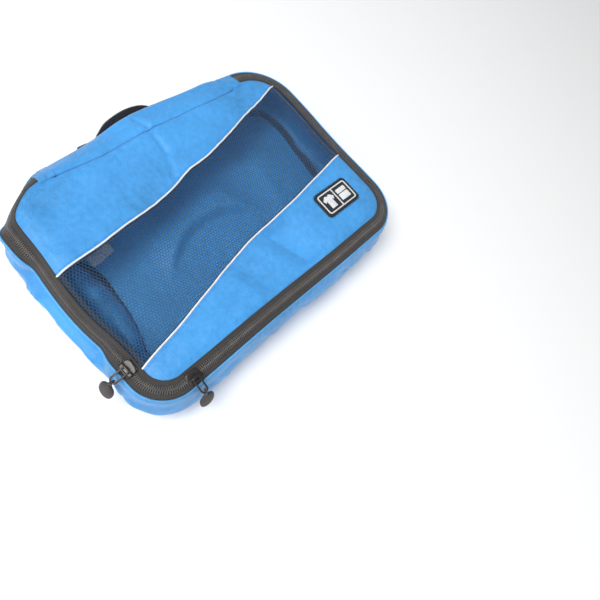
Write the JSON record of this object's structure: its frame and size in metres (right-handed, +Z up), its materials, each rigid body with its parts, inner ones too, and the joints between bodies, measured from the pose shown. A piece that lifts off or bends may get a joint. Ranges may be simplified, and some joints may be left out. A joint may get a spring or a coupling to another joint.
{
  "type": "packing cube",
  "caption": "Soft zip-round fabric packing cube whose mesh-window lid turns on a cloth hinge, with sliding zip pulls and a webbing carry handle.",
  "frame": {"origin": "centre of the bottom sheet's underside, midway between the zip's two long and two short sides", "axes": "+X along the length, from the side with the left slider to the side with the badge; +Y towards the cloth hinge and the handle; +Z up, out of the lid"},
  "size_m": [0.3101, 0.2426, 0.0532],
  "materials": {
    "body_cloth": "satin ripstop nylon",
    "binding_tape": "woven tape",
    "label_cloth": "satin label tape",
    "zip_tape": "woven zip tape",
    "zip_coil": "nylon coil",
    "webbing": "ribbed webbing",
    "mesh": "open knitted mesh",
    "piping": "covered cord",
    "badge_rubber": "moulded soft rubber",
    "badge_print": "raised pale marks",
    "slider_metal": "satin dark coat on zinc",
    "pull_rubber": "moulded soft rubber"
  },
  "bodies": {
    "bag": {"base_panel": "body_cloth", "wall_front_and_sides": "body_cloth", "wall_back": "body_cloth", "bottom_seam_binding": "binding_tape", "wall_seam_binding_left": "binding_tape", "wall_seam_binding_right": "binding_tape", "care_label": "label_cloth", "zip_tape_base": "zip_tape", "zip_coil_base": "zip_coil", "zip_end_cover_left": "body_cloth", "zip_end_cover_right": "body_cloth", "handle_end_left": "webbing", "handle_end_right": "webbing"},
    "handle": {"handle_strap": "webbing"},
    "lid": {"lid_rear_panel": "body_cloth", "lid_front_panel": "body_cloth", "lid_mesh_window": "mesh", "piping_rear": "piping", "piping_front": "piping", "mesh_seam_binding_rear": "binding_tape", "mesh_seam_binding_front": "binding_tape", "lid_edge_binding": "binding_tape", "hinge_strip": "body_cloth", "zip_tape_lid": "zip_tape", "zip_coil_lid": "zip_coil", "badge": "badge_rubber", "badge_frame": "badge_print", "badge_pictograms": "badge_print"},
    "left_slider": {"slider_left": "slider_metal"},
    "left_ring": {"pull_ring_left": "slider_metal"},
    "left_grip": {"pull_cord_left": "pull_rubber", "pull_grip_left": "pull_rubber"},
    "front_slider": {"slider_front": "slider_metal"},
    "front_ring": {"pull_ring_front": "slider_metal"},
    "front_grip": {"pull_cord_front": "pull_rubber", "pull_grip_front": "pull_rubber"}
  },
  "joints": [
    {"name": "lid_hinge", "type": "hinge", "parent": "bag", "child": "lid", "pos_m": [0, 0.1007, 0.0432], "axis": [-1, 0, 0], "range_deg": [0, 180]},
    {"name": "handle_swing", "type": "hinge", "parent": "bag", "child": "handle", "pos_m": [0, 0.11304, 0.019], "axis": [1, 0, 0], "range_deg": [-30, 50]},
    {"name": "left_slider_run", "type": "slide", "parent": "lid", "child": "left_slider", "axis": [0, 1, 0], "range_m": [0, 0.118]},
    {"name": "left_ring_flip", "type": "hinge", "parent": "left_slider", "child": "left_ring", "pos_m": [-0.13799, -0.062, 0.05009], "axis": [0, 1, 0], "range_deg": [0, 150]},
    {"name": "left_grip_swing", "type": "hinge", "parent": "left_ring", "child": "left_grip", "pos_m": [-0.15004, -0.062, 0.04522], "axis": [0, 1, 0], "range_deg": [-5, 90]},
    {"name": "front_slider_run", "type": "slide", "parent": "lid", "child": "front_slider", "axis": [1, 0, 0], "range_m": [0, 0.208]},
    {"name": "front_ring_flip", "type": "hinge", "parent": "front_slider", "child": "front_ring", "pos_m": [-0.108, -0.09499, 0.05009], "axis": [-1, 0, 0], "range_deg": [0, 150]},
    {"name": "front_grip_swing", "type": "hinge", "parent": "front_ring", "child": "front_grip", "pos_m": [-0.108, -0.10704, 0.04522], "axis": [-1, 0, 0], "range_deg": [-5, 90]}
  ]
}
